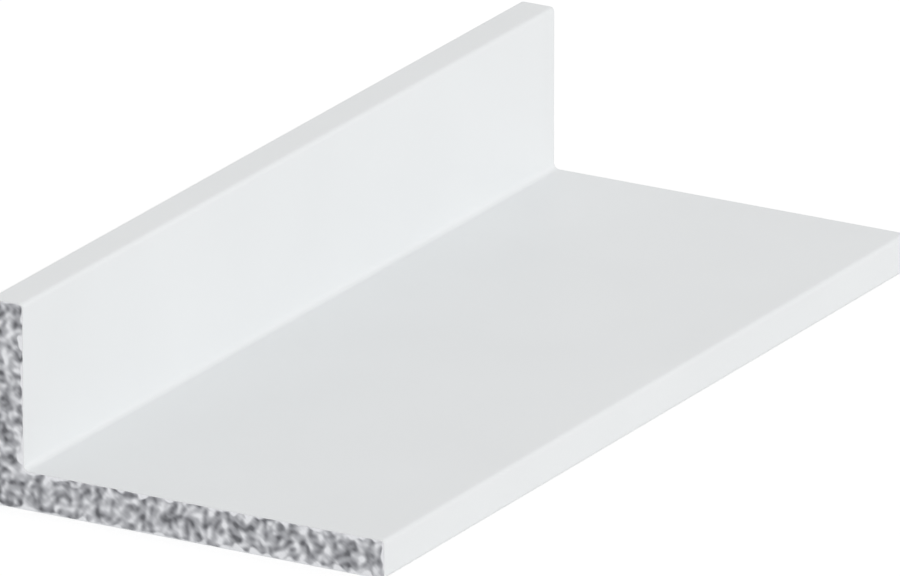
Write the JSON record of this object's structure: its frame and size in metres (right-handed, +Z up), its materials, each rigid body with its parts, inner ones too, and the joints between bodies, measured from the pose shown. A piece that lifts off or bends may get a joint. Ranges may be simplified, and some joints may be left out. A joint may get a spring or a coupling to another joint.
{
  "type": "unequal angle trim profile",
  "caption": "Straight L-section aluminium trim with a wide flat leg and a narrower upright leg, coated white with bare sawn ends, for covering and finishing panel edges and corners.",
  "frame": {"origin": "on the underside of the wide leg, midway across its width and midway along the length", "axes": "+X across the wide leg from heel to toe, +Y along the length, +Z up the narrow leg"},
  "size_m": [0.02, 0.047, 0.0095],
  "materials": {
    "white_coated_aluminium": "satin"
  },
  "bodies": {
    "root": {"trim_angle": "white_coated_aluminium"}
  },
  "joints": []
}
